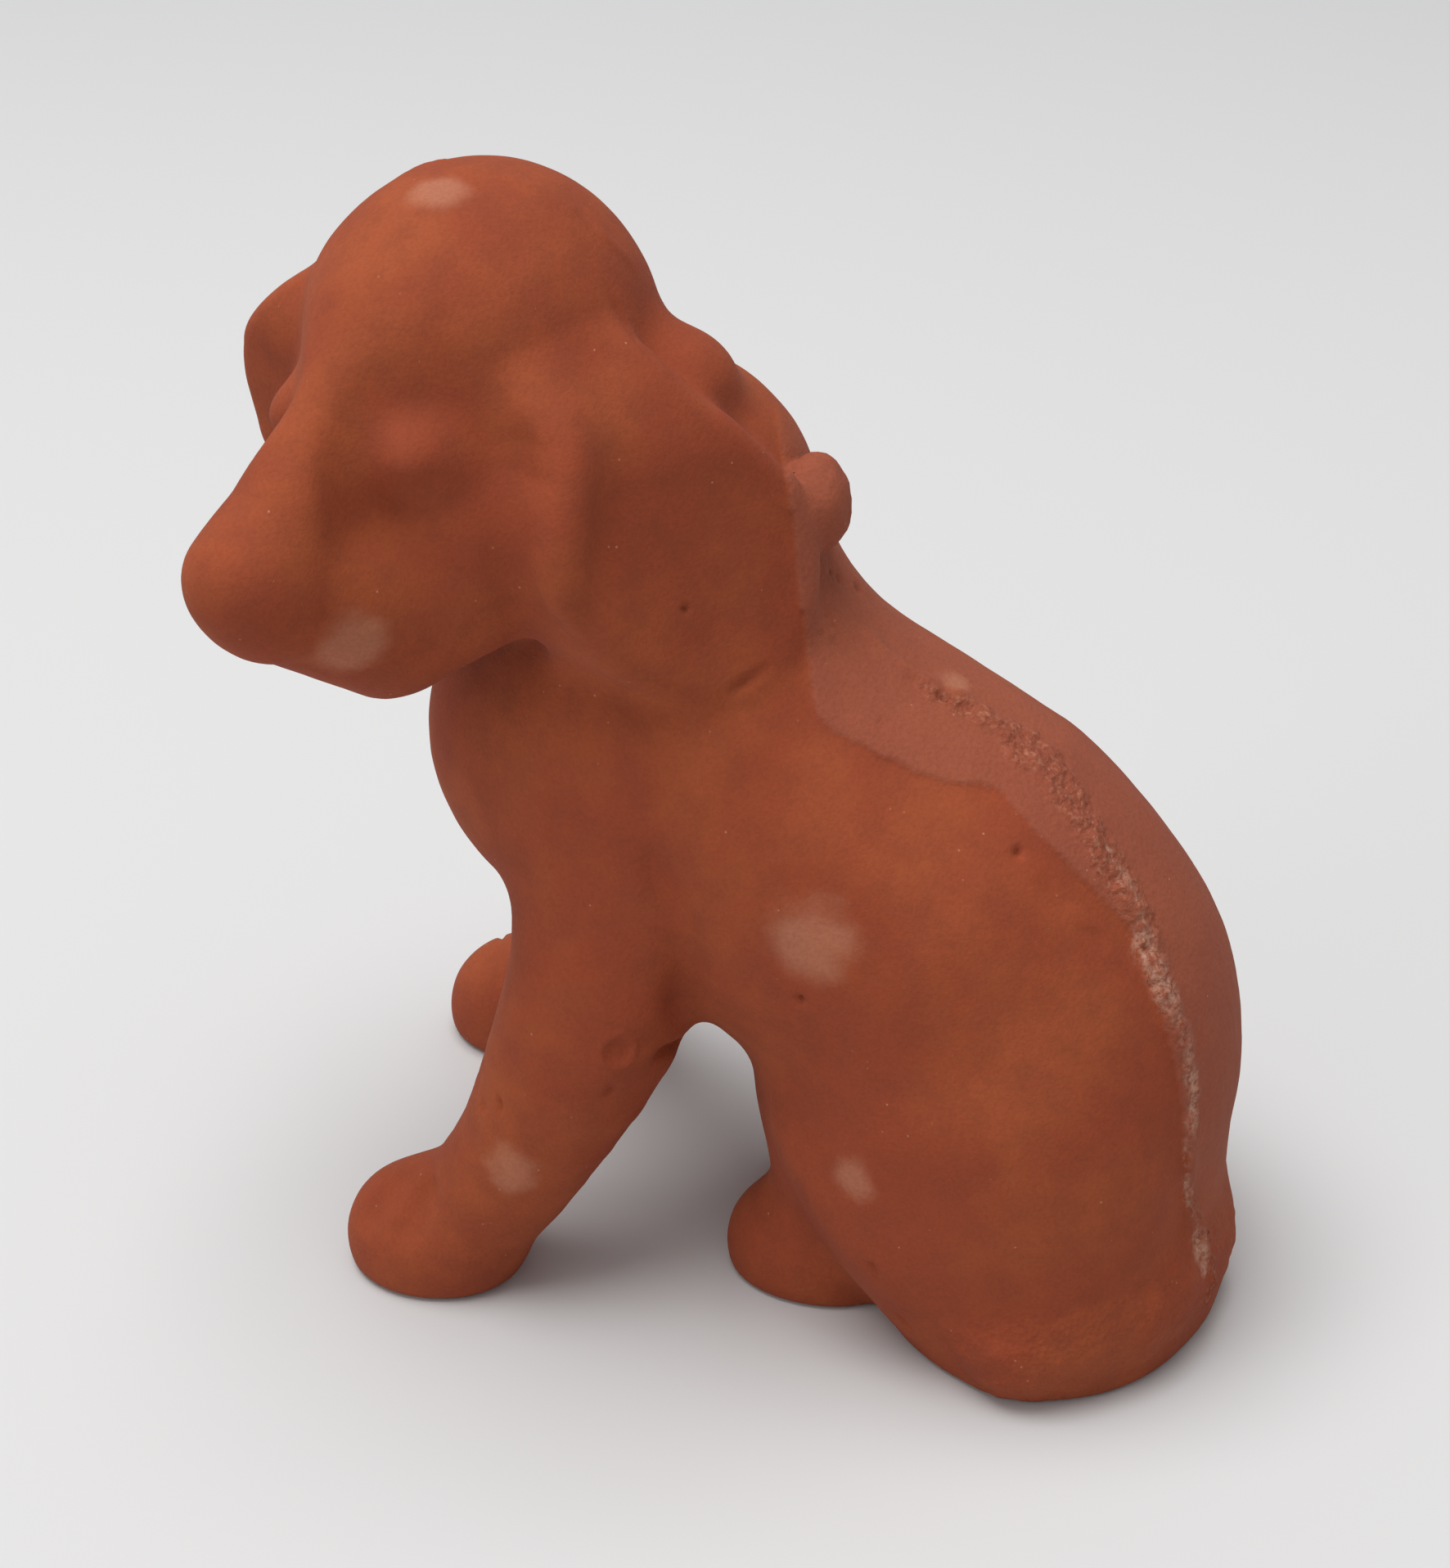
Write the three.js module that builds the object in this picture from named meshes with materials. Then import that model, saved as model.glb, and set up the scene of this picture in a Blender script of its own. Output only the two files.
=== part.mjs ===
// Sitting earthenware puppy, pressed in a two-part mould and fired: one solid, about 156 mm tall.
// Millimetres, +Z up. The puppy faces -Y, +X is its left, and its head is turned to its left.
import * as THREE from 'three';
import { triTable } from 'three/addons/objects/MarchingCubes.js';

// Every form is a distance: negative inside the clay, zero on its surface, positive outside.

// Body: centres and radii of the masses.
const rump = { centre: [0, 38.4, 36], radii: [33, 33, 42] };
const seat = { centre: [0, 49.5, 6], radii: [30.5, 23, 30] };
const back = { hip: [0, 28.5, 56.5], hipRadius: 30.7, shoulder: [0, -4, 77], shoulderRadius: 28.2 };
const chest = { centre: [0, -15, 76.5], radii: [24, 25.6, 25] };
const neck = { low: [0, -6, 88], lowRadius: 23, high: [0, -10, 109], highRadius: 21.5 };
const nape = { centre: [4, -6, 129.5], radii: [8, 8, 6] };
const napeLump = { centre: [3, 12.5, 114], radii: [5, 4, 6] };
const thigh = { centre: [19, 44, 25], radii: [14, 20, 26] };
const hindFoot = { centre: [11, 17, 4], radii: [9.5, 13, 12] };
const shin = { low: [11, 18, 8], lowRadius: 8, high: [10.5, 21, 28], highRadius: 9 };
const upperArm = { centre: [16, -9, 62], radii: [12, 14.5, 22] };

// Limbs: each knot of a limb's smooth middle line is [x, y, z, radius].
const leftForeleg = {
  knots: [[16, -9, 60, 13], [22.5, -12, 44, 12.3], [24.5, -20.5, 24, 9.8], [24.5, -29, 10, 9]],
  paw: { centre: [24.5, -35.5, 4], radii: [10.5, 12.5, 11.5] },
};
const rightForeleg = {
  knots: [[-14, -10, 60, 13], [-24, -20, 42, 12], [-30, -28, 24, 10.5], [-33, -35, 10, 9.5]],
  paw: { centre: [-33, -42.5, 4], radii: [10.5, 12.5, 12] },
};
const tail = [[0, 62.5, 10, 11], [13.5, 60, 11, 11], [20.4, 54, 11, 11], [24, 49, 9, 10.5]];
const stepsPerKnot = 3;

// Strokes raise or press the surface along a smooth line. Each knot is [x, y, z, height].
const shoulderCrease = {
  width: 2.6,
  knots: [
    [27.8, -1.5, 78, 0], [28.2, 0.3, 71, -1.6], [28.1, 3.2, 63, -1.8], [25.8, 2.8, 55, -1.8], [24.5, 0, 46, 0],
  ],
};
const kneeRidge = {
  width: 5,
  knots: [
    [24, 15, 42, 0], [24.4, 16, 32, 1], [28, 21.7, 26, 1.5], [30, 26, 21, 1.4], [31.5, 30.4, 15.7, 0.8],
    [32, 35, 10, 0],
  ],
};
const flankHollow = { centre: [33.5, 36, 32], radii: [6, 7, 6], height: -0.8 };

// Head, in its own frame: x to its left, y to its back, z up, from the middle of the skull.
const headCentre = [8, -27, 128.5];
const headYaw = THREE.MathUtils.degToRad(65);
const skull = { centre: [-1, -2.3, 2], radii: [21.5, 25.2, 25.5] };
const cheek = { centre: [8, -12.5, -12], radii: [12, 13, 17.5] };
const jaw = { chin: [0, -38, -16], chinRadius: 8.5, throat: [0, -22, -21], throatRadius: 14 };
const browBone = { centre: [9.5, -20.5, -1], radii: [7, 7, 7] };
const muzzle = [[0, -17, 9, 9], [0, -27, 1, 7], [0, -36, -8, 7], [0, -42.5, -12.5, 7]];
const eyeHollow = { centre: [15.5, -23, 3], radii: [9, 9, 10], height: -2.4 };
const eyeball = { centre: [11.3, -26.5, 0.5], radii: [4.5, 4.5, 4.5], height: 1.5 };
const innerCorner = {
  width: 3,
  knots: [
    [10.5, -23.5, 13, 0], [6.8, -29, 6.5, -1.4], [6.6, -31.2, 0.5, -2.2], [8, -32, -6, -2], [9.5, -32.5, -12, 0],
  ],
};

// Ears: pads over the sides of the head. An outline is a string of discs [y, z, radius], and the
// outer face leans out towards the back and the bottom, and dives into the skull at its root.
const leftEar = {
  side: 1,
  outward: 30,
  slopeBack: 0.3,
  slopeDown: -0.17,
  outline: [[-5, 4, 10], [-2, -10, 15.5], [2, -17, 16.5]],
};
const rightEar = {
  side: -1,
  outward: 29.5,
  slopeBack: 0,
  slopeDown: 0,
  outline: [[-9, 6, 10.5], [-4, -8, 12.5], [4, -16, 14]],
};
const earDepth = 16;
const earEdgeRadius = 3;
const earRoot = { from: -4, over: 16, drop: 9 };
const earLean = 0.95;
const earRoll = {
  width: 3,
  knots: [
    [20, -7, 12, 0], [24.5, -11.5, 5, 1], [26.6, -14.5, -4, 2.6], [26.8, -16.5, -13, 2.8],
    [27, -17.5, -20, 1.4], [28.5, -16, -26, 0.4],
  ],
};

// How far apart two forms begin to run together, from crisp to soft.
const blends = { crisp: 1.5, ear: 3, foot: 3, limb: 4, nape: 5, muzzle: 5, seat: 6, soft: 8, thigh: 7 };
const baseEdgeRadius = 1.5;

// The grid that the surface is skinned on.
const grid = { low: [-60, -80, -5], high: [60, 85, 165], cell: 3.9, clearance: 0.12, reach: 0.3 };

// The order of a cube's corners and edges in triTable.
const cubeCorners = [
  [0, 0, 0], [1, 0, 0], [1, 1, 0], [0, 1, 0], [0, 0, 1], [1, 0, 1], [1, 1, 1], [0, 1, 1],
];
const cubeEdges = [
  [0, 1], [1, 2], [2, 3], [3, 0], [4, 5], [5, 6], [6, 7], [7, 4], [0, 4], [1, 5], [2, 6], [3, 7],
];

function blend(a, b, width) {
  const overlap = Math.max(width - Math.abs(a - b), 0) / width;
  return Math.min(a, b) - overlap * overlap * width / 4;
}

function carve(a, b, width) {
  return -blend(-a, b, width);
}

function ellipsoid(p, { centre, radii }) {
  const [x, y, z] = p.map((value, i) => (value - centre[i]) / radii[i]);
  const size = Math.hypot(x, y, z) + 1e-9;
  const slope = Math.hypot(x / radii[0], y / radii[1], z / radii[2]) + 1e-9;
  return size * (size - 1) / slope;
}

// How far along a straight stretch the nearest point lies, from 0 to 1, and the gap to it.
function nearest(p, a, b) {
  const along = [b[0] - a[0], b[1] - a[1], b[2] - a[2]];
  const from = [p[0] - a[0], p[1] - a[1], p[2] - a[2]];
  const length2 = along[0] ** 2 + along[1] ** 2 + along[2] ** 2;
  const dot = from[0] * along[0] + from[1] * along[1] + from[2] * along[2];
  const share = Math.min(Math.max(dot / length2, 0), 1);
  return [share, Math.hypot(...from.map((value, i) => value - share * along[i]))];
}

function taper(p, a, b, radiusA, radiusB) {
  const [share, gap] = nearest(p, a, b);
  return gap - (radiusA + share * (radiusB - radiusA));
}

// A string of tapers, or of discs, whose points are [x, y, z, radius].
function string(p, points) {
  let least = Infinity;
  for (let i = 1; i < points.length; i += 1) {
    least = Math.min(least, taper(p, points[i - 1], points[i], points[i - 1][3], points[i][3]));
  }
  return least;
}

// A smooth line through the knots; the last number of a knot runs smoothly too.
function smooth(knots, steps) {
  const last = knots.length - 1;
  const before = knots[0].map((value, i) => 2 * value - knots[1][i]);
  const after = knots[last].map((value, i) => 2 * value - knots[last - 1][i]);
  const all = [before, ...knots, after];
  const points = [];
  for (let k = 1; k <= last; k += 1) {
    for (let step = 0; step < steps; step += 1) {
      const t = step / steps;
      points.push(all[k].map((value, i) => {
        const [a, b, c, d] = [all[k - 1][i], value, all[k + 1][i], all[k + 2][i]];
        const bend = (2 * a - 5 * b + 4 * c - d) * t + (3 * b - a - 3 * c + d) * t * t;
        return b + 0.5 * t * (c - a + bend);
      }));
    }
  }
  points.push(knots[last]);
  return points;
}

function stroke(clay, p, { width, points }) {
  let least = Infinity;
  let height = 0;
  for (let i = 1; i < points.length; i += 1) {
    const [share, gap] = nearest(p, points[i - 1], points[i]);
    if (gap < least) {
      least = gap;
      height = points[i - 1][3] + share * (points[i][3] - points[i - 1][3]);
    }
  }
  return clay - height * Math.exp(-((least / width) ** 2));
}

// A soft rise or hollow about a place.
function dab(clay, p, { centre, radii, height }) {
  return clay - height * Math.exp(-p.reduce((sum, value, i) => sum + ((value - centre[i]) / radii[i]) ** 2, 0));
}

for (const limb of [leftForeleg, rightForeleg]) {
  limb.points = smooth(limb.knots, stepsPerKnot);
}
for (const line of [shoulderCrease, kneeRidge, innerCorner, earRoll]) {
  line.points = smooth(line.knots, stepsPerKnot);
}
const tailPoints = smooth(tail, stepsPerKnot);

function foreleg(p, leg) {
  return blend(string(p, leg.points), ellipsoid(p, leg.paw), blends.muzzle);
}

function ear(q, { side, outward, slopeBack, slopeDown, outline }) {
  const [x, y, z] = [side * q[0], q[1], q[2]];
  const discs = outline.map(([discY, discZ, radius]) => [0, discY, discZ, radius]);
  const around = string([0, y, z], discs) + earEdgeRadius;
  const root = Math.max(z - earRoot.from, 0) / earRoot.over;
  const face = outward + slopeBack * y + slopeDown * z - earRoot.drop * root * root;
  const above = (x - face) * earLean + earEdgeRadius;
  const outside = Math.hypot(Math.max(around, 0), Math.max(above, 0));
  const pad = Math.min(Math.max(around, above), 0) + outside - earEdgeRadius;
  return carve(pad, x - face + earDepth, earEdgeRadius);
}

function head(p) {
  const [x, y, z] = [p[0] - headCentre[0], p[1] - headCentre[1], p[2] - headCentre[2]];
  const q = [
    Math.cos(headYaw) * x + Math.sin(headYaw) * y,
    Math.cos(headYaw) * y - Math.sin(headYaw) * x,
    z,
  ];
  const mirrored = [Math.abs(q[0]), q[1], q[2]];
  let clay = blend(ellipsoid(q, skull), ellipsoid(mirrored, cheek), blends.soft);
  clay = blend(clay, taper(q, jaw.chin, jaw.throat, jaw.chinRadius, jaw.throatRadius), blends.muzzle);
  clay = blend(clay, string(q, muzzle), blends.muzzle);
  clay = blend(clay, ellipsoid(mirrored, browBone), blends.ear);
  clay = dab(clay, mirrored, eyeHollow);
  clay = stroke(clay, mirrored, innerCorner);
  clay = dab(clay, mirrored, eyeball);
  clay = stroke(blend(clay, ear(q, leftEar), blends.ear), q, earRoll);
  return blend(clay, ear(q, rightEar), blends.crisp);
}

function torso(p) {
  let clay = blend(ellipsoid(p, rump), ellipsoid(p, seat), blends.seat);
  clay = blend(clay, taper(p, back.hip, back.shoulder, back.hipRadius, back.shoulderRadius), blends.limb);
  clay = blend(clay, ellipsoid(p, chest), blends.soft);
  return blend(clay, taper(p, neck.low, neck.high, neck.lowRadius, neck.highRadius), blends.soft);
}

function puppy(p) {
  const mirrored = [Math.abs(p[0]), p[1], p[2]];
  const leftLeg = blend(foreleg(p, leftForeleg), ellipsoid(p, upperArm), blends.limb);
  const shank = taper(mirrored, shin.low, shin.high, shin.lowRadius, shin.highRadius);
  let clay = blend(torso(p), head(p), blends.limb);
  clay = blend(clay, leftLeg, blends.limb);
  clay = blend(clay, foreleg(p, rightForeleg), blends.limb);
  clay = stroke(clay, mirrored, shoulderCrease);
  clay = stroke(blend(clay, ellipsoid(mirrored, thigh), blends.thigh), mirrored, kneeRidge);
  clay = dab(clay, mirrored, flankHollow);
  clay = blend(clay, blend(shank, ellipsoid(mirrored, hindFoot), blends.limb), blends.foot);
  clay = blend(clay, string(p, tailPoints), blends.crisp);
  clay = blend(clay, ellipsoid(p, nape), blends.nape);
  clay = blend(clay, ellipsoid(p, napeLump), blends.crisp);
  return carve(clay, p[2], baseEdgeRadius);
}

// Moves a point onto the surface, down the distance's own slope.
function settle(point, field, reach) {
  const nudge = 0.05;
  const settled = [...point];
  for (let pass = 0; pass < 3; pass += 1) {
    const value = field(settled);
    const slope = [0, 1, 2].map((axis) => {
      const ahead = [...settled];
      ahead[axis] += nudge;
      return (field(ahead) - value) / nudge;
    });
    const steepness = slope[0] ** 2 + slope[1] ** 2 + slope[2] ** 2;
    for (let axis = 0; axis < 3; axis += 1) {
      const moved = settled[axis] - value * slope[axis] / steepness;
      settled[axis] = Math.min(Math.max(moved, point[axis] - reach), point[axis] + reach);
    }
  }
  return settled;
}

// Skins a distance by marching cubes. A grid value too near zero is moved off it, so no sliver forms.
function skin(field, { low, high, cell, clearance, reach }) {
  const counts = low.map((from, axis) => Math.ceil((high[axis] - from) / cell) + 1);
  const strides = [1, counts[0], counts[0] * counts[1]];
  const values = new Float64Array(counts[0] * counts[1] * counts[2]);
  const place = (index) => [
    low[0] + cell * (index % counts[0]),
    low[1] + cell * (Math.floor(index / strides[1]) % counts[1]),
    low[2] + cell * Math.floor(index / strides[2]),
  ];
  for (let index = 0; index < values.length; index += 1) {
    const value = field(place(index));
    values[index] = Math.sign(value || 1) * Math.max(Math.abs(value), clearance * cell);
  }

  const positions = [];
  const faces = [];
  const vertexOn = new Map();
  const vertexBetween = (a, b) => {
    const key = Math.min(a, b) * values.length + Math.max(a, b);
    if (!vertexOn.has(key)) {
      const share = values[a] / (values[a] - values[b]);
      const [from, to] = [place(a), place(b)];
      const crossing = from.map((value, axis) => value + share * (to[axis] - value));
      vertexOn.set(key, positions.length / 3);
      positions.push(...settle(crossing, field, reach * cell));
    }
    return vertexOn.get(key);
  };
  for (let k = 0; k < counts[2] - 1; k += 1) {
    for (let j = 0; j < counts[1] - 1; j += 1) {
      for (let i = 0; i < counts[0] - 1; i += 1) {
        const corners = cubeCorners.map(([x, y, z]) => i + x + (j + y) * strides[1] + (k + z) * strides[2]);
        const shape = corners.reduce((bits, index, n) => bits | (values[index] < 0 ? 1 << n : 0), 0);
        for (let n = 16 * shape; triTable[n] !== -1; n += 3) {
          const ends = [triTable[n], triTable[n + 1], triTable[n + 2]].map((edge) => cubeEdges[edge]);
          faces.push(...ends.reverse().map(([a, b]) => vertexBetween(corners[a], corners[b])));
        }
      }
    }
  }

  const geometry = new THREE.BufferGeometry();
  geometry.setAttribute('position', new THREE.Float32BufferAttribute(positions, 3));
  geometry.setIndex(faces);
  return geometry;
}

const earthenware = new THREE.MeshStandardMaterial({ color: 0x9a5238, roughness: 0.9, metalness: 0 });

const figure = skin(puppy, grid);
figure.computeBoundingBox();
const middle = figure.boundingBox.getCenter(new THREE.Vector3());
figure.translate(-middle.x, -middle.y, -figure.boundingBox.min.z);
figure.computeVertexNormals();

const puppyMesh = new THREE.Mesh(figure, earthenware);
puppyMesh.name = 'puppy';

const group = new THREE.Group();
group.add(puppyMesh);
export default group;
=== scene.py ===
import math

import bpy
import numpy as np
from mathutils import Matrix, Vector


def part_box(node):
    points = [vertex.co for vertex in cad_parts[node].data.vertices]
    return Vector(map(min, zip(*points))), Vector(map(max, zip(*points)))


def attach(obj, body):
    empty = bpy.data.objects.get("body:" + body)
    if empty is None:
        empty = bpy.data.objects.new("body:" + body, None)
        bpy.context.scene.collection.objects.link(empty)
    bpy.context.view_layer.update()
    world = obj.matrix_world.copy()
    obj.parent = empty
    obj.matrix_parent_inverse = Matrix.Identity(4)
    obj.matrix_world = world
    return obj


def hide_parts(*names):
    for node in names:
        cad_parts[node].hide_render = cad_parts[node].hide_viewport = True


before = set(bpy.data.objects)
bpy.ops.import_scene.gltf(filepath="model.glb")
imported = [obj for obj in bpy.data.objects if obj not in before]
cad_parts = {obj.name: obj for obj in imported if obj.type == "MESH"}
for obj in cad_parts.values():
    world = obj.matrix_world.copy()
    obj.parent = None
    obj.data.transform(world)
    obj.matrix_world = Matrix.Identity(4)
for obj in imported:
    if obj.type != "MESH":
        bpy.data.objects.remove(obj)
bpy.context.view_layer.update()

# The clay is shaped in millimetres in the modeller's own frame: the puppy faces -Y, +X is its left,
# +Z is up, and the middle line of its body is X = 0. The finished skin is then set in the CAD box.
MM = 0.001

# The camera in the modeller's frame. Its picture is 1772 by 1916 pixels.
PICTURE = (1772, 1916)
FOCAL_PIXELS = 3640
VIEW_AZIMUTH = math.radians(107)
VIEW_ELEVATION = math.radians(30)
VIEW_DISTANCE = 400
VIEW_TARGET = np.array([0.0, 0.0, 70.0])
SENSOR = 36

# Body: centre and radii of each mass.
RUMP = ((0, 38.4, 36), (33, 33, 42))
SEAT = ((0, 49.5, 6), (30.5, 23, 30))
BACK = ((0, 28.5, 56.5), (0, -4, 77), 30.7, 28.2)
CHEST = ((0, -15, 76.5), (24, 25.6, 25))
NECK = ((0, -6, 88), (0, -10, 109), 23, 21.5)
NAPE = ((4, -6, 129.5), (8, 8, 6))
NAPE_LUMP = ((3, 12.5, 114), (5, 4, 6))
THIGH = ((19, 44, 25), (14, 20, 26))
HIND_FOOT = ((11, 17, 4), (9.5, 13, 12))
SHIN = ((11, 18, 8), (10.5, 21, 28), 8, 9)
UPPER_ARM = ((16, -9, 62), (12, 14.5, 22))

# Limbs: each knot of a limb's smooth middle line is x, y, z and radius.
LEFT_FORELEG = [(16, -9, 60, 13), (22.5, -12, 44, 12.3), (24.5, -20.5, 24, 9.8), (24.5, -29, 10, 9)]
LEFT_PAW = ((24.5, -35.5, 4), (10.5, 12.5, 11.5))
RIGHT_FORELEG = [(-14, -10, 60, 13), (-24, -20, 42, 12), (-30, -28, 24, 10.5), (-33, -35, 10, 9.5)]
RIGHT_PAW = ((-33, -42.5, 4), (10.5, 12.5, 12))
TAIL = [(0, 62.5, 10, 11), (13.5, 60, 11, 11), (20.4, 54, 11, 11), (24, 49, 9, 10.5)]

# Head, in its own frame: x to its left, y to its back, z up, from the middle of the skull.
HEAD_CENTRE = (8, -27, 128.5)
HEAD_YAW = math.radians(65)
SKULL = ((-1, -2.3, 2), (21.5, 25.2, 25.5))
CHEEK = ((8, -12.5, -12), (12, 13, 17.5))
JAW = ((0, -38, -16), (0, -22, -21), 8.5, 14)
BROW_BONE = ((9.5, -20.5, -1), (7, 7, 7))
MUZZLE = [(0, -17, 9, 9), (0, -27, 1, 7), (0, -36, -8, 7), (0, -42.5, -12.5, 7)]

# Ears: pads over the sides of the head. An outline is a string of discs y, z, radius. The outer
# face leans out towards the back and the bottom, and dives into the skull at its root.
LEFT_EAR = {
    "side": 1, "outward": 30, "slope_back": 0.3, "slope_down": -0.17,
    "outline": [(-5, 4, 10), (-2, -10, 15.5), (2, -17, 16.5)],
}
RIGHT_EAR = {
    "side": -1, "outward": 29.5, "slope_back": 0, "slope_down": 0,
    "outline": [(-9, 6, 10.5), (-4, -8, 12.5), (4, -16, 14)],
}
EAR_DEPTH = 16
EAR_EDGE_RADIUS = 3
EAR_ROOT = {"from": -4, "over": 16, "drop": 9}
EAR_LEAN = 0.95

# How far apart two forms begin to run together, from crisp to soft.
CRISP, SNUG, LIMB, MELT, SEATED, FLANK, SOFT = 1.5, 3, 4, 5, 6, 7, 8
BASE_EDGE_RADIUS = 1.5

# The modeller's strokes: width of the tool, then knots x, y, z and height.
EYE_HOLLOW = ((15.5, -23, 3), (9, 9, 10), -2.4)
EYEBALL = ((11.3, -26.5, 0.5), (4.5, 4.5, 4.5), 1.5)
INNER_CORNER = (3, [(10.5, -23.5, 13, 0), (6.8, -29, 6.5, -1.4), (6.6, -31.2, 0.5, -2.2),
                    (8, -32, -6, -2), (9.5, -32.5, -12, 0)])
EYELID = (1.6, [(9.8, -28.6, -0.6, 0), (11.4, -27.6, -2.6, -0.5), (13.4, -25.8, -2.8, -0.6),
                (15.6, -23.4, -0.8, 0)])
EAR_ROLL = (3, [(20, -7, 12, 0), (24.5, -11.5, 5, 1), (26.6, -14.5, -4, 2.6), (26.8, -16.5, -13, 2.8),
                (27, -17.5, -20, 1.4), (28.5, -16, -26, 0.4)])
EAR_FOLD = (2.2, [(28.3, -7.5, 2, 0), (29, -9.3, -5, -1.2), (29.8, -12, -13, -1.8),
                  (30, -13.5, -18, -0.6), (30, -14, -21, 0)])
SHOULDER_CREASE = (2.6, [(27.8, -1.5, 78, 0), (28.2, 0.3, 71, -1.6), (28.1, 3.2, 63, -1.8),
                         (25.8, 2.8, 55, -1.8), (24.5, 0, 46, 0)])
KNEE_RIDGE = (5, [(24, 15, 42, 0), (24.4, 16, 32, 1), (28, 21.7, 26, 1.5), (30, 26, 21, 1.4),
                  (31.5, 30.4, 15.7, 0.8), (32, 35, 10, 0)])
FLANK_HOLLOW = ((33.5, 36, 32), (6, 7, 6), -0.8)
TOE_GROOVES = [
    (2.2, [(27, -31, 17, 0), (30, -33.5, 15.5, -1.6), (33, -35.5, 12.5, -1.6), (35.5, -38, 9, 0)]),
    (2.2, [(26, -37, 17.5, 0), (29, -39.5, 15, -1.6), (31.5, -42.5, 11.5, -1.6), (33, -44, 8, 0)]),
]


def melt(a, b, width):
    """Joins two distances, running them together over the width."""
    overlap = np.maximum(width - np.abs(a - b), 0.0) / width
    return np.minimum(a, b) - overlap * overlap * width * 0.25


def carve(a, b, width):
    return -melt(-a, b, width)


def ellipsoid(p, centre, radii):
    x, y, z = ((p[i] - centre[i]) / radii[i] for i in range(3))
    size = np.sqrt(x * x + y * y + z * z) + 1e-6
    slope = np.sqrt((x / radii[0])**2 + (y / radii[1])**2 + (z / radii[2])**2) + 1e-6
    return size * (size - 1.0) / slope


def nearest(p, a, b):
    """How far along a straight stretch the nearest point lies, from 0 to 1, and the gap's square."""
    along = [b[i] - a[i] for i in range(3)]
    x, y, z = (p[i] - a[i] for i in range(3))
    length2 = along[0]**2 + along[1]**2 + along[2]**2
    share = np.clip((x * along[0] + y * along[1] + z * along[2]) / length2, 0.0, 1.0)
    gap2 = (x - share * along[0])**2 + (y - share * along[1])**2 + (z - share * along[2])**2
    return share, gap2


def taper(p, a, b, radius_a, radius_b):
    share, gap2 = nearest(p, a, b)
    return np.sqrt(gap2) - (radius_a + share * (radius_b - radius_a))


def smooth_line(knots, steps=3):
    """Points of a smooth line through the knots; a knot's last number runs smoothly too."""
    k = np.array(knots, float)
    k = np.vstack([2 * k[0] - k[1], k, 2 * k[-1] - k[-2]])
    points = []
    for a, b, c, d in zip(k[:-3], k[1:-2], k[2:-1], k[3:]):
        for t in np.arange(steps) / steps:
            bend = (2 * a - 5 * b + 4 * c - d) * t + (3 * b - a - 3 * c + d) * t * t
            points.append(b + 0.5 * t * (c - a + bend))
    return points + [k[-2]]


def string(p, points):
    """A string of tapers through points of x, y, z and radius."""
    least = None
    for a, b in zip(points[:-1], points[1:]):
        part = taper(p, a, b, a[3], b[3])
        least = part if least is None else np.minimum(least, part)
    return least


def limb(p, knots):
    return string(p, smooth_line(knots))


def along_line(p, points):
    """The gap to a line, and the value that its knots hold there."""
    least = value = None
    for a, b in zip(points[:-1], points[1:]):
        share, gap2 = nearest(p, a, b)
        here = a[3] + share * (b[3] - a[3])
        if least is None:
            least, value = gap2, here
        else:
            closer = gap2 < least
            least = np.where(closer, gap2, least)
            value = np.where(closer, here, value)
    return np.sqrt(least), value


def stroke(clay, p, mark):
    width, knots = mark
    gap, height = along_line(p, smooth_line(knots))
    return clay - height * np.exp(-(gap / width)**2)


def dab(clay, p, mark):
    """A soft rise or hollow about a place."""
    centre, radii, height = mark
    return clay - height * np.exp(-sum(((p[i] - centre[i]) / radii[i])**2 for i in range(3)))


def ear(q, side, outward, slope_back, slope_down, outline):
    x, y, z = side * q[0], q[1], q[2]
    discs = [(0, disc_y, disc_z, radius) for disc_y, disc_z, radius in outline]
    around = string([0 * x, y, z], discs) + EAR_EDGE_RADIUS
    root = np.maximum(z - EAR_ROOT["from"], 0) / EAR_ROOT["over"]
    face = outward + slope_back * y + slope_down * z - EAR_ROOT["drop"] * root * root
    above = (x - face) * EAR_LEAN + EAR_EDGE_RADIUS
    outside = np.hypot(np.maximum(around, 0), np.maximum(above, 0))
    pad = np.minimum(np.maximum(around, above), 0) + outside - EAR_EDGE_RADIUS
    return carve(pad, x - face + EAR_DEPTH, EAR_EDGE_RADIUS)


def in_head(p):
    x, y, z = (p[i] - HEAD_CENTRE[i] for i in range(3))
    c, s = math.cos(HEAD_YAW), math.sin(HEAD_YAW)
    return [c * x + s * y, c * y - s * x, z]


def head(p):
    q = in_head(p)
    both = [np.abs(q[0]), q[1], q[2]]
    clay = melt(ellipsoid(q, *SKULL), ellipsoid(both, *CHEEK), SOFT)
    clay = melt(clay, taper(q, *JAW), MELT)
    clay = melt(clay, string(q, MUZZLE), MELT)
    clay = melt(clay, ellipsoid(both, *BROW_BONE), SNUG)
    clay = dab(clay, both, EYE_HOLLOW)
    clay = stroke(clay, both, INNER_CORNER)
    clay = dab(clay, both, EYEBALL)
    clay = stroke(clay, both, EYELID)
    clay = melt(clay, ear(q, **LEFT_EAR), SNUG)
    clay = stroke(clay, q, EAR_ROLL)
    clay = stroke(clay, q, EAR_FOLD)
    return melt(clay, ear(q, **RIGHT_EAR), CRISP)


def torso(p):
    clay = melt(ellipsoid(p, *RUMP), ellipsoid(p, *SEAT), SEATED)
    clay = melt(clay, taper(p, *BACK), LIMB)
    clay = melt(clay, ellipsoid(p, *CHEST), SOFT)
    return melt(clay, taper(p, *NECK), SOFT)


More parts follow.
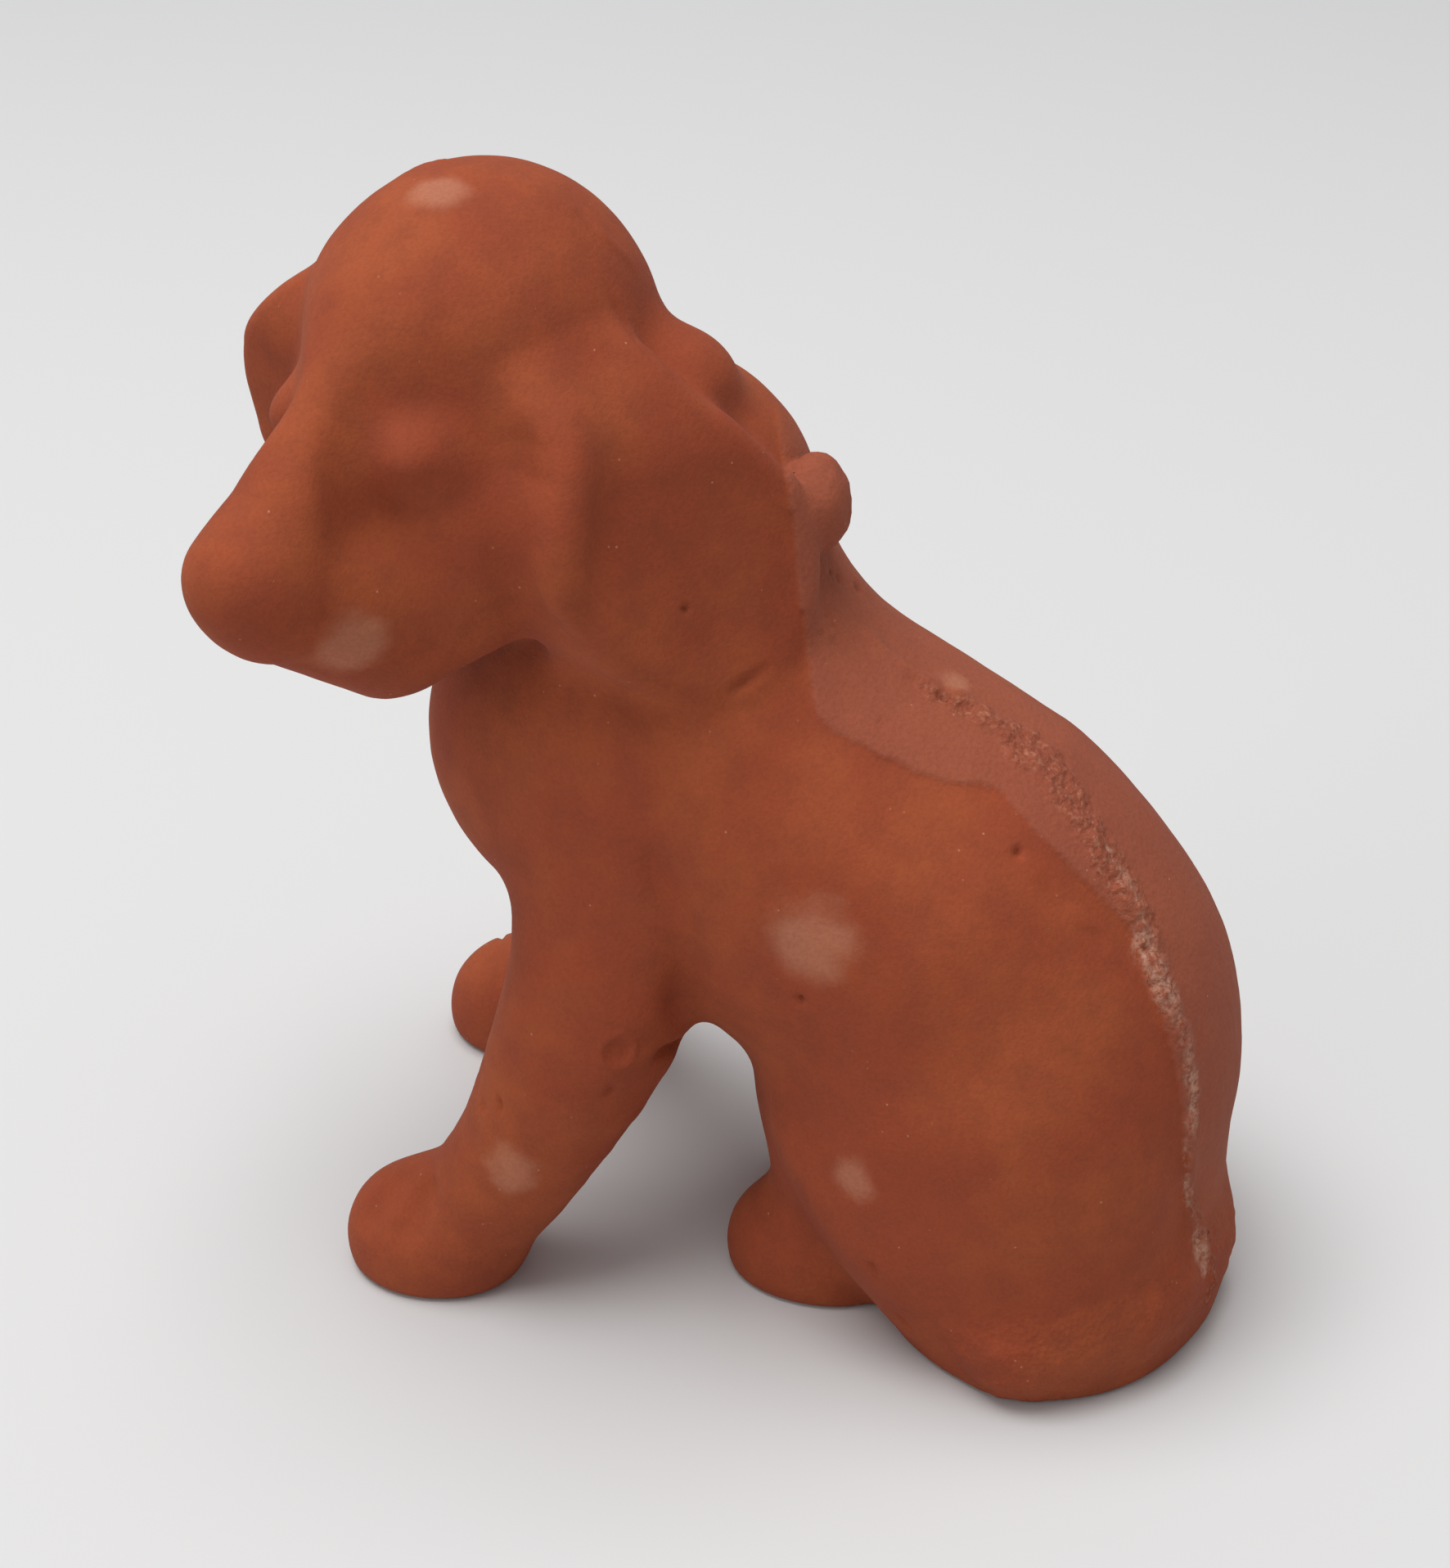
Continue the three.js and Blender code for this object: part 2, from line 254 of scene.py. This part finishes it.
def puppy(p):
    """Distance to the figure's surface, in millimetres; negative inside the clay."""
    both = [np.abs(p[0]), p[1], p[2]]
    left_leg = melt(limb(p, LEFT_FORELEG), ellipsoid(p, *LEFT_PAW), MELT)
    left_leg = melt(left_leg, ellipsoid(p, *UPPER_ARM), LIMB)
    right_leg = melt(limb(p, RIGHT_FORELEG), ellipsoid(p, *RIGHT_PAW), MELT)
    clay = melt(torso(p), head(p), LIMB)
    clay = melt(melt(clay, left_leg, LIMB), right_leg, LIMB)
    clay = stroke(clay, both, SHOULDER_CREASE)
    clay = stroke(melt(clay, ellipsoid(both, *THIGH), FLANK), both, KNEE_RIDGE)
    clay = dab(clay, both, FLANK_HOLLOW)
    for groove in TOE_GROOVES:
        clay = stroke(clay, p, groove)
    clay = melt(clay, melt(taper(both, *SHIN), ellipsoid(both, *HIND_FOOT), LIMB), SNUG)
    clay = melt(clay, limb(p, TAIL), CRISP)
    clay = melt(clay, ellipsoid(p, *NAPE), MELT)
    clay = melt(clay, ellipsoid(p, *NAPE_LUMP), CRISP)
    return carve(clay, p[2], BASE_EDGE_RADIUS)


def measure(points, chunk=60000):
    """The distance at many points, worked out in chunks that fit in the processor's cache."""
    points = np.asarray(points, np.float32)
    out = np.empty(len(points), np.float32)
    for start in range(0, len(points), chunk):
        out[start:start + chunk] = puppy(list(points[start:start + chunk].T))
    return out


def slopes(points, nudge=0.1):
    """Outward normals at many points near the surface."""
    steps = nudge * np.eye(3, dtype=np.float32)
    slope = np.stack([measure(points + step) - measure(points - step) for step in steps], axis=1)
    return slope / (2 * nudge)


def settle(points, passes=2, reach=0.4):
    """Moves points near the surface onto it."""
    for _ in range(passes):
        value, slope = measure(points), slopes(points)
        move = value[:, None] * slope / np.maximum((slope**2).sum(axis=1, keepdims=True), 0.2)
        points = points - np.clip(move, -reach, reach)
    return points


def skin(low, high, cell, coarse=4):
    """Quads over the surface: one point in each cell that the surface crosses."""
    blocks = np.ceil((np.array(high) - low) / (cell * coarse)).astype(int)
    counts = blocks * coarse + 1
    axes = [low[i] + cell * np.arange(counts[i], dtype=np.float32) for i in range(3)]
    corners = np.stack(np.meshgrid(*[a[::coarse] for a in axes], indexing="ij"), axis=-1)
    rough = measure(corners.reshape(-1, 3)).reshape(corners.shape[:3])

    # A block is looked at closely where one of its corners is near the surface.
    near = np.abs(rough) < 1.4 * cell * coarse
    live = np.zeros(blocks, bool)
    for i in range(8):
        a, b, c = i & 1, (i >> 1) & 1, (i >> 2) & 1
        live |= near[a:a + blocks[0], b:b + blocks[1], c:c + blocks[2]]
    value = np.where(rough[:-1, :-1, :-1] < 0, -1, 1).astype(np.float32)
    for axis in range(3):
        value = value.repeat(coarse, axis)
        live = live.repeat(coarse, axis)
    value = np.pad(value, ((0, 1),) * 3, mode="edge")
    live = np.pad(live, ((0, 1),) * 3)
    for axis in range(3):
        live |= np.roll(live, 1, axis)
    where = np.argwhere(live)
    value[live] = measure(np.stack([axes[i][where[:, i]] for i in range(3)], axis=1))

    # Each grid edge that the surface crosses gives a quad through the four cells around it.
    inside = value < 0
    cells, crossings, flipped = [], [], []
    for axis in range(3):
        ahead = [slice(1, None) if i == axis else slice(None) for i in range(3)]
        behind = [slice(None, -1) if i == axis else slice(None) for i in range(3)]
        start = np.argwhere(inside[tuple(ahead)] != inside[tuple(behind)])
        step = np.eye(3, dtype=int)
        v0 = value[tuple(start.T)]
        v1 = value[tuple((start + step[axis]).T)]
        share = v0 / (v0 - v1)
        crossing = start + share[:, None] * step[axis]
        b, c = step[(axis + 1) % 3], step[(axis + 2) % 3]
        around = np.stack([start - b - c, start - c, start, start - b], axis=1)
        cells.append(around @ np.array([counts[1] * counts[2], counts[2], 1]))
        crossings.append(crossing)
        flipped.append(v0 > 0)
    cells = np.concatenate(cells)
    crossings = np.repeat(np.concatenate(crossings), 4, axis=0)
    flipped = np.concatenate(flipped)
    _, corner_of = np.unique(cells.ravel(), return_inverse=True)
    share_count = np.bincount(corner_of)
    points = np.stack([np.bincount(corner_of, crossings[:, i]) / share_count for i in range(3)], axis=1)
    quads = corner_of.reshape(-1, 4)
    quads[flipped] = quads[flipped][:, ::-1]
    return settle(points * cell + np.array(low)), quads


# The camera's own axes in the modeller's frame.
LOOK_BACK = np.array([
    math.sin(VIEW_AZIMUTH) * math.cos(VIEW_ELEVATION),
    -math.cos(VIEW_AZIMUTH) * math.cos(VIEW_ELEVATION),
    math.sin(VIEW_ELEVATION),
])
LOOK_RIGHT = np.array([math.cos(VIEW_AZIMUTH), math.sin(VIEW_AZIMUTH), 0.0])
LOOK_UP = np.cross(LOOK_RIGHT, -LOOK_BACK)
EYE = VIEW_TARGET + VIEW_DISTANCE * LOOK_BACK


def touched(marks):
    """Where marks x, y, value, given at the picture's pixels, lie on the figure: x, y, z and value."""
    marks = np.array(marks, float)
    across = (marks[:, 0] - PICTURE[0] / 2) / FOCAL_PIXELS
    down = (marks[:, 1] - PICTURE[1] / 2) / FOCAL_PIXELS
    ray = -LOOK_BACK + across[:, None] * LOOK_RIGHT - down[:, None] * LOOK_UP
    ray /= np.linalg.norm(ray, axis=1, keepdims=True)
    way = np.full(len(marks), VIEW_DISTANCE - 130.0)
    closest, best = np.full(len(marks), 1e9), way.copy()
    for _ in range(90):
        gap = measure(EYE + way[:, None] * ray)
        best = np.where(gap < closest, way, best)
        closest = np.minimum(closest, gap)
        way = np.where(gap > 0.02, way + 0.8 * np.maximum(gap, 0.05), way)
    return np.column_stack([EYE + best[:, None] * ray, marks[:, 2]])


def hashed(cell, seed):
    """A number from -1 to 1 for each cell of a lattice."""
    mixed = cell[:, 0] * 73856093 ^ cell[:, 1] * 19349663 ^ cell[:, 2] * 83492791 ^ seed * 2654435761
    mixed = (mixed ^ (mixed >> 13)) * 1274126177 & 0xFFFFFFFF
    mixed = (mixed ^ (mixed >> 16)) * 2246822519 & 0xFFFFFFFF
    return (mixed & 0xFFFFFF) / 0x7FFFFF - 1.0


def grain(points, size, seed, octaves=1):
    """Smooth random variation over the points, from about -1 to 1; size is in millimetres."""
    total, weight = np.zeros(len(points)), 0.0
    for octave in range(octaves):
        q = points * (2**octave / size)
        low = np.floor(q).astype(np.int64)
        f = q - low
        f = f * f * (3 - 2 * f)
        part = np.zeros(len(points))
        for corner in range(8):
            pick = np.array([corner & 1, (corner >> 1) & 1, (corner >> 2) & 1])
            share = np.where(pick, f, 1 - f).prod(axis=1)
            part += share * hashed(low + pick, seed + octave)
        total += part / 2**octave
        weight += 1 / 2**octave
    return total / weight


def lumps(points, size, seed):
    """Round lumps packed at random: 1 at each middle, 0 between them."""
    q = points / size
    low = np.floor(q).astype(np.int64)
    least = np.full(len(points), 9.0)
    for i in range(27):
        cell = low + np.array([i % 3 - 1, i // 3 % 3 - 1, i // 9 - 1])
        middle = cell + 0.5 + 0.4 * np.stack([hashed(cell, seed + k) for k in range(3)], axis=1)
        least = np.minimum(least, ((q - middle)**2).sum(axis=1))
    return np.clip(1 - np.sqrt(least) / 0.7, 0, 1)


def ramp(value, low, high):
    t = np.clip((value - low) / (high - low), 0, 1)
    return t * t * (3 - 2 * t)


# Marks on the clay, at the picture's pixels. The last number of a mark is a height or a width in mm.
SEAM_BEAD = [(1008, 690, 0.5), (1060, 780, 0.6), (1125, 835, 1.0), (1180, 858, 1.0), (1225, 900, 0.7),
             (1285, 950, 0.9), (1310, 1000, 0.9), (1352, 1060, 0.9), (1390, 1125, 1.0),
             (1415, 1190, 0.8), (1440, 1260, 0.7), (1455, 1330, 0.7), (1450, 1430, 0.5),
             (1462, 1510, 0.8), (1478, 1580, 0.8)]
CRUMB_BELT = [(1130, 845, 1.6), (1200, 880, 2.5), (1255, 915, 4.2), (1295, 960, 4.0), (1325, 1010, 3.2),
              (1362, 1070, 3.4), (1395, 1130, 2.6), (1415, 1190, 2.4), (1435, 1250, 2.0),
              (1455, 1330, 1.6), (1450, 1430, 1.2), (1460, 1500, 2.0), (1478, 1580, 3.0)]
BAND_EDGE = [(985, 800, 0), (1000, 880, 0), (1050, 908, 0), (1095, 932, 0), (1160, 958, 0), (1215, 962, 0),
             (1243, 992, 0), (1275, 1025, 0), (1312, 1063, 0), (1352, 1103, 0), (1388, 1145, 0),
             (1405, 1190, 0), (1418, 1240, 0), (1436, 1300, 0), (1446, 1380, 0), (1448, 1460, 0)]
SMEAR_EDGE = [(1235, 1035, 0.3), (1290, 1092, 0.35), (1340, 1142, 0.35), (1385, 1192, 0.3)]
CHALK_STREAK = [(1350, 1040, 1.0), (1385, 1110, 1.6), (1400, 1160, 2.0), (1425, 1220, 2.0), (1450, 1290, 1.4),
                (1455, 1350, 1.6), (1448, 1420, 0.8), (1453, 1480, 0.9), (1466, 1525, 2.0), (1470, 1560, 0.6)]
HEAD_SEAM = [(478, 228, 0.1), (515, 203, 0.3), (560, 198, 0.35), (620, 214, 0.3), (690, 250, 0.2),
             (738, 288, 0.6), (775, 325, 0.2), (812, 362, 0.1)]
CRACKS = [
    (0.5, [(606, 1336, 0), (610, 1350, -0.9), (609, 1366, 0)]),
    (0.5, [(736, 1343, 0), (746, 1333, -0.8), (757, 1327, 0)]),
    (0.45, [(600, 1146, 0), (614, 1144, -0.7), (632, 1148, 0)]),
    (0.5, [(1058, 1540, 0), (1066, 1550, -0.8), (1072, 1566, 0)]),
    (0.5, [(1090, 1600, 0), (1102, 1612, -0.7), (1116, 1630, 0)]),
    (0.8, [(888, 850, 0), (905, 838, -0.8), (925, 826, -0.5), (950, 808, 0)]),
    (0.9, [(795, 1292, 0), (815, 1284, -1.2), (835, 1272, -0.8)]),
]
CREASES = [
    (0.7, [(735, 345, 0), (765, 395, -0.5), (792, 430, -0.3), (810, 450, 0)]),
    (0.6, [(590, 208, 0), (622, 222, -0.45), (655, 240, 0)]),
    (0.6, [(560, 192, 0), (590, 203, -0.35), (640, 215, 0)]),
    (0.6, [(1085, 815, 0), (1120, 838, -0.5), (1165, 862, -0.4), (1210, 885, 0)]),
    (0.7, [(835, 1268, 0), (800, 1285, 0.25), (770, 1303, 0.25), (735, 1312, 0)]),
]
RING = (755, 1285, 2.3)
PINHOLES = [(838, 745, 0.7), (1012, 700, 0.6), (1023, 707, 0.8), (1046, 722, 0.9), (1009, 753, 0.5),
            (1016, 762, 0.5), (1018, 785, 0.6), (985, 752, 0.5), (1000, 775, 0.5), (1075, 885, 0.5),
            (978, 1222, 0.9), (590, 1352, 0.7), (1245, 1042, 1.0), (672, 1058, 0.4)]
WORN_PATCHES = [(535, 232, 3.6), (1045, 1440, 3.4), (625, 1430, 4.2), (1465, 1525, 2.0), (1165, 835, 2.4),
                (990, 1150, 6.0), (430, 790, 5.0)]

# The smear of clay on the back lies between the band's edge and the back's far side.
BAND_HEIGHT = 0.55
BAND_FAR_X = -14


def bead_of(knots, points, width, seed):
    """A rough bead along a line, its height from the knots."""
    gap, height = along_line(list(points.T), smooth_line(knots, 4))
    wander = 1 + 0.5 * grain(points, 2.2, seed)
    broken = ramp(grain(points, 3.0, seed + 1), -0.5, 0.4)
    return height * broken * np.exp(-(gap / (width * wander))**2)


def on_band(points, edge):
    """How far each point lies on the smeared band's side of its edge, in millimetres."""
    path = np.array(smooth_line(edge, 3))[:, :3]
    best, side = np.full(len(points), 1e9), np.zeros(len(points))
    for a, b in zip(path[:-1], path[1:]):
        share, gap2 = nearest(points.T, a, b)
        inward = np.cross(b - a, LOOK_BACK)
        inward /= np.linalg.norm(inward)
        signed = np.sign((points - a) @ -inward) * np.sqrt(gap2)
        closer = gap2 < best
        best, side = np.where(closer, gap2, best), np.where(closer, signed, side)
    return side


def hidden_by_far_side(points):
    return ramp(points[:, 0], BAND_FAR_X, BAND_FAR_X + 8)


class Relief:
    """What the fingers, the mould and the scraper left on the skin, and where each of them is."""

    def __init__(self, points):
        self.points = points
        p = list(points.T)
        self.tail = ramp(limb(p, TAIL), 2.5, 0.3) * ramp(points[:, 2], 24, 20)
        self.back = ramp(points[:, 1], 2, 12) * ramp(points[:, 2], 8, 30)
        side = on_band(points, touched(BAND_EDGE)) + 0.5 * grain(points, 3.5, 11, 2)
        self.band_side = side
        self.band = ramp(side, -0.25, 0.25) * hidden_by_far_side(points) * self.back
        belt_gap, belt_half = along_line(p, smooth_line(touched(CRUMB_BELT), 4))
        self.belt = ramp(belt_gap / belt_half + 0.35 * grain(points, 2.5, 21, 2), 1.1, 0.5)
        streak_gap, streak_half = along_line(p, smooth_line(touched(CHALK_STREAK), 4))
        self.chalk = ramp(streak_gap / streak_half + 0.5 * grain(points, 1.6, 31, 2), 1.2, 0.2)
        worn = [(points - place[:3], place[3]) for place in touched(WORN_PATCHES)]
        gaps = np.min([np.linalg.norm(away, axis=1) / size for away, size in worn], axis=0)
        self.worn = ramp(gaps + 0.35 * grain(points, 2.6, 41, 2), 1.2, 0.4)

    def height(self):
        points = self.points
        p = list(points.T)
        rise = 0.14 * grain(points, 14, 1, 2) + 0.05 * grain(points, 3.2, 2, 2)
        rise += BAND_HEIGHT * self.band * (0.75 + 0.25 * grain(points, 5, 3))
        scraped = grain(points * np.array([1.0, 0.16, 0.16]), 0.9, 4, 2)
        rise += 0.1 * self.band * scraped
        rise += self.belt * (0.75 * lumps(points, 2.1, 5)**0.8 + 0.4 * lumps(points, 1.2, 6) - 0.25)
        rise += bead_of(touched(SEAM_BEAD), points, 1.3, 51)
        rise += bead_of(touched(SMEAR_EDGE), points, 0.8, 61)
        rise += bead_of(touched(HEAD_SEAM), points, 0.9, 71)
        rise += self.tail * (0.35 * grain(points, 3.4, 7, 3) + 0.3 * lumps(points, 2.6, 8))
        for width, knots in CRACKS + CREASES:
            gap, depth = along_line(p, smooth_line(touched(knots), 3))
            rise += depth * np.exp(-(gap / width)**2)
        for x, y, z, size in touched(PINHOLES):
            gap = np.sqrt((p[0] - x)**2 + (p[1] - y)**2 + (p[2] - z)**2)
            rise -= 1.1 * size * np.exp(-(gap / (0.7 * size))**2)
        ring = touched([RING])[0]
        gap = np.linalg.norm(points - ring[:3], axis=1)
        rise += 0.3 * np.exp(-((gap - ring[3]) / 0.45)**2) - 0.3 * ramp(gap, ring[3], 0.4 * ring[3])
        lump_gap = ellipsoid(p, *NAPE_LUMP)
        rise += ramp(lump_gap, 1.0, 0) * (0.5 * grain(points, 2.2, 9, 2) + 0.25)
        return rise * ramp(points[:, 2], -0.2, 0.8)


def crease_shade(points, normals, reaches=((1.0, 0.35), (3.0, 0.35), (8.0, 0.3))):
    """How shut in each point is, from 0 on open forms to 1 deep in a crease: the mask of the painted shade in creases.
    """
    shut = np.zeros(len(points))
    for reach, weight in reaches:
        shut += weight * np.clip(1 - measure(points + normals * reach) / reach, 0, 1)
    return shut


FIGURE_LOW = (-46, -63, -2)
FIGURE_HIGH = (56, 76, 159)
CELL = 0.66
MOST_TRIANGLES = 190000


def mesh_from(name, points, faces):
    mesh = bpy.data.meshes.new(name)
    mesh.from_pydata(points.tolist(), [], faces.tolist())
    mesh.update()
    return mesh


def show(name, mesh):
    piece = bpy.data.objects.new(name, mesh)
    bpy.context.scene.collection.objects.link(piece)
    return piece


def finished(piece):
    """The piece's mesh with its modifiers worked into it."""
    depsgraph = bpy.context.evaluated_depsgraph_get()
    made = bpy.data.meshes.new_from_object(piece.evaluated_get(depsgraph))
    piece.modifiers.clear()
    old, piece.data = piece.data, made
    bpy.data.meshes.remove(old)
    return piece


def coordinates(mesh):
    flat = np.empty(3 * len(mesh.vertices), np.float32)
    mesh.vertices.foreach_get("co", flat)
    return flat.reshape(-1, 3)


def keep(mesh, name, values):
    mesh.attributes.new(name, "FLOAT", "POINT").data.foreach_set("value", values.astype(np.float32))


points, quads = skin(FIGURE_LOW, FIGURE_HIGH, CELL)
normals = slopes(points)
normals /= np.linalg.norm(normals, axis=1, keepdims=True)
points = points + normals * Relief(points).height()[:, None]
points[:, 2] = np.maximum(points[:, 2], 0)
figure = show("puppy_skin", mesh_from("puppy_skin", points, quads))
thin = figure.modifiers.new("thin", "DECIMATE")
thin.ratio = MOST_TRIANGLES / (2 * len(quads))
finished(figure)
skin_points = coordinates(figure.data).astype(float)
relief = Relief(skin_points)
normals = slopes(skin_points)
normals /= np.linalg.norm(normals, axis=1, keepdims=True)
keep(figure.data, "band", relief.band)
keep(figure.data, "belt", relief.belt)
keep(figure.data, "chalk", relief.chalk)
keep(figure.data, "worn", relief.worn)
keep(figure.data, "tail", relief.tail)
# The mask of the painted shade that darkens creases and hollows.
keep(figure.data, "crease_shade", crease_shade(skin_points, normals))

# The middle of the modeller's figure goes to the middle of the CAD solid's box across the floor; its height is kept.
low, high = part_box("puppy")
SHIFT = np.array([
    (low[0] + high[0]) / 2 / MM - (skin_points[:, 0].min() + skin_points[:, 0].max()) / 2,
    (low[1] + high[1]) / 2 / MM - (skin_points[:, 1].min() + skin_points[:, 1].max()) / 2,
    0,
])


def in_place(points):
    return (np.asarray(points) + SHIFT) * MM


figure.data.transform(Matrix.Scale(MM, 4) @ Matrix.Translation(Vector(SHIFT)))
figure.data.polygons.foreach_set("use_smooth", np.ones(len(figure.data.polygons), bool))


class Value:
    """A number in a material that varies over the surface; sums on it add Math nodes."""

    def __init__(self, mix, socket):
        self.mix, self.socket = mix, socket

    def work(self, operation, first, second=0.0):
        return Value(self.mix, self.mix.node("ShaderNodeMath", {"operation": operation}, {0: first, 1: second}))

    def __add__(self, other):
        return self.work("ADD", self, other)

    def __sub__(self, other):
        return self.work("SUBTRACT", self, other)

    def __rsub__(self, other):
        return self.work("SUBTRACT", other, self)

    def __mul__(self, other):
        return self.work("MULTIPLY", self, other)

    def __pow__(self, other):
        return self.work("POWER", self, other)

    __radd__ = __add__
    __rmul__ = __mul__

    def between(self, low, high):
        """0 below low, 1 above high, smooth in between."""
        made = self.mix.node("ShaderNodeMapRange", {"interpolation_type": "SMOOTHSTEP"},
                             {"Value": self, "From Min": low, "From Max": high})
        return Value(self.mix, made)


class Finish:
    """One material's nodes."""

    def __init__(self, name):
        self.material = bpy.data.materials.new(name)
        self.material.use_nodes = True
        self.nodes, self.links = self.material.node_tree.nodes, self.material.node_tree.links
        self.shader = self.nodes["Principled BSDF"]
        self.place = self.node("ShaderNodeTexCoord", {}, {}, "Object")

    def node(self, kind, settings, sockets, output=0):
        made = self.nodes.new(kind)
        for name, setting in settings.items():
            setattr(made, name, setting)
        for name, value in sockets.items():
            self.feed(made.inputs[name], value)
        return made.outputs[output]

    def feed(self, socket, value):
        if isinstance(value, Value):
            value = value.socket
        if isinstance(value, bpy.types.NodeSocket):
            self.links.new(value, socket)
        else:
            socket.default_value = value

    def painted(self, name):
        return Value(self, self.node("ShaderNodeAttribute", {"attribute_name": name}, {}, "Fac"))

    def cloud(self, size_mm, detail=2.0, roughness=0.5, stretch=None):
        place = self.place
        if stretch:
            place = self.node("ShaderNodeMapping", {}, {"Vector": self.place, "Scale": stretch})
        sockets = {"Vector": place, "Scale": 1 / (size_mm * MM), "Detail": detail, "Roughness": roughness}
        return Value(self, self.node("ShaderNodeTexNoise", {}, sockets, "Fac"))

    def cells(self, size_mm, randomness=1.0):
        sockets = {"Vector": self.place, "Scale": 1 / (size_mm * MM), "Randomness": randomness}
        return Value(self, self.node("ShaderNodeTexVoronoi", {}, sockets, "Distance"))

    def blend(self, share, under, over, kind="MIX"):
        sockets = {0: share, 6: under, 7: over}
        settings = {"data_type": "RGBA", "blend_type": kind}
        return self.node("ShaderNodeMix", settings, sockets, 2)

    def bump(self, height, depth_mm, under=None):
        sockets = {"Height": height, "Distance": depth_mm * MM, "Strength": 1.0}
        if under is not None:
            sockets["Normal"] = under
        return self.node("ShaderNodeBump", {}, sockets)


def colour(red, green, blue):
    """A colour from the numbers that a colour picker shows, 0 to 255, as the shader wants it."""
    parts = [value / 255 for value in (red, green, blue)]
    return tuple(v / 12.92 if v <= 0.04045 else ((v + 0.055) / 1.055)**2.4 for v in parts) + (1.0,)


CLAY_RED = colour(146, 66, 39)
CLAY_ORANGE = colour(156, 76, 43)
CLAY_BROWN = colour(126, 60, 39)
CLAY_MAUVE = colour(150, 84, 64)
CLAY_PALE = colour(190, 132, 104)
# The deep clay tone: dark grain in the clay, and the painted shade in creases.
CLAY_DEEP_AND_SHADE = colour(96, 40, 25)
CHALK_WHITE = colour(200, 160, 138)
LIME_WHITE = colour(230, 212, 196)


def earthenware(name, crumb=False):
    clay = Finish(name)
    blotch = clay.cloud(17, 3, 0.5).between(0.36, 0.66)
    small = clay.cloud(5, 3, 0.6).between(0.35, 0.7)
    body = clay.blend(blotch, CLAY_RED, CLAY_ORANGE)
    body = clay.blend(small * 0.35, body, CLAY_BROWN)
    if not crumb:
        body = clay.blend(clay.painted("band") * 0.6, body, CLAY_MAUVE)
        body = clay.blend(clay.painted("belt") * clay.cloud(0.8, 2).between(0.5, 0.75) * 0.5, body, CLAY_PALE)
        body = clay.blend(clay.painted("worn") * 0.45, body, CLAY_PALE)
        body = clay.blend(clay.painted("chalk") * clay.cloud(0.9, 3, 0.7).between(0.35, 0.65) * 0.7, body, CHALK_WHITE)
        # Painted shade: creases and hollows are darkened by how shut in they are.
        body = clay.blend(clay.painted("crease_shade").between(0.25, 1.0) * 0.55, body, CLAY_DEEP_AND_SHADE)
    fine = clay.cloud(0.55, 3, 0.65)
    speck = 1 - clay.cells(1.7).between(0.05, 0.12)
    rare = clay.cloud(3.1, 1).between(0.6, 0.66)
    body = clay.blend(fine.between(0.3, 0.75) * 0.18, body, CLAY_DEEP_AND_SHADE)
    body = clay.blend(speck * rare * 0.6, body, CLAY_PALE)
    clay.feed(clay.shader.inputs["Base Color"], body)
    clay.feed(clay.shader.inputs["Roughness"], 0.82 + 0.12 * fine)
    clay.shader.inputs["Specular IOR Level"].default_value = 0.25
    relief_fine = clay.bump(fine + 0.6 * clay.cloud(1.4, 2), 0.09)
    if not crumb:
        rough = clay.painted("belt") + 0.7 * clay.painted("tail") + 0.25 * clay.painted("band")
        gritty = rough * (clay.cloud(0.7, 4, 0.7) + clay.cells(0.9))
        relief_fine = clay.bump(gritty, 0.22, relief_fine)
    clay.feed(clay.shader.inputs["Normal"], relief_fine)
    return clay.material


figure.data.materials.clear()
figure.data.materials.append(earthenware("earthenware"))
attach(figure, "root")
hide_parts("puppy")

# Floor, lights and camera.
FLOOR_HALF = 3.0
floor = show("floor", mesh_from("floor", np.array([
    (-FLOOR_HALF, -FLOOR_HALF, 0), (FLOOR_HALF, -FLOOR_HALF, 0), (FLOOR_HALF, FLOOR_HALF, 0),
    (-FLOOR_HALF, FLOOR_HALF, 0)]), np.array([(0, 1, 2, 3)])))
plain = bpy.data.materials.new("plain_floor")
plain.use_nodes = True
plain.node_tree.nodes["Principled BSDF"].inputs["Base Color"].default_value = (0.62, 0.62, 0.62, 1)
plain.node_tree.nodes["Principled BSDF"].inputs["Roughness"].default_value = 0.9
floor.data.materials.append(plain)

world = bpy.data.worlds.new("studio")
world.use_nodes = True
world.node_tree.nodes["Background"].inputs["Color"].default_value = (1, 1, 1, 1)
world.node_tree.nodes["Background"].inputs["Strength"].default_value = 0.45
bpy.context.scene.world = world


def softbox(name, place, aim, size, power):
    light = bpy.data.lights.new(name, "AREA")
    light.shape = "DISK"
    light.size = size
    light.energy = power
    lamp = bpy.data.objects.new(name, light)
    lamp.location = place
    lamp.rotation_euler = (Vector(aim) - Vector(place)).to_track_quat("-Z", "Y").to_euler()
    bpy.context.scene.collection.objects.link(lamp)


softbox("overhead", (0.15, -0.25, 1.6), (0, 0, 0.07), 1.3, 24)
softbox("front", (1.3, -1.2, 0.9), (0, 0, 0.07), 1.0, 5)

camera = bpy.data.objects.new("camera", bpy.data.cameras.new("camera"))
camera.data.sensor_width = SENSOR
camera.data.lens = FOCAL_PIXELS / PICTURE[1] * SENSOR
camera.data.clip_start, camera.data.clip_end = 0.01, 20
camera.location = in_place(EYE)
camera.rotation_euler = Vector(-LOOK_BACK).to_track_quat("-Z", "Y").to_euler()
bpy.context.scene.collection.objects.link(camera)
bpy.context.scene.camera = camera
bpy.context.scene.view_settings.view_transform = "Standard"
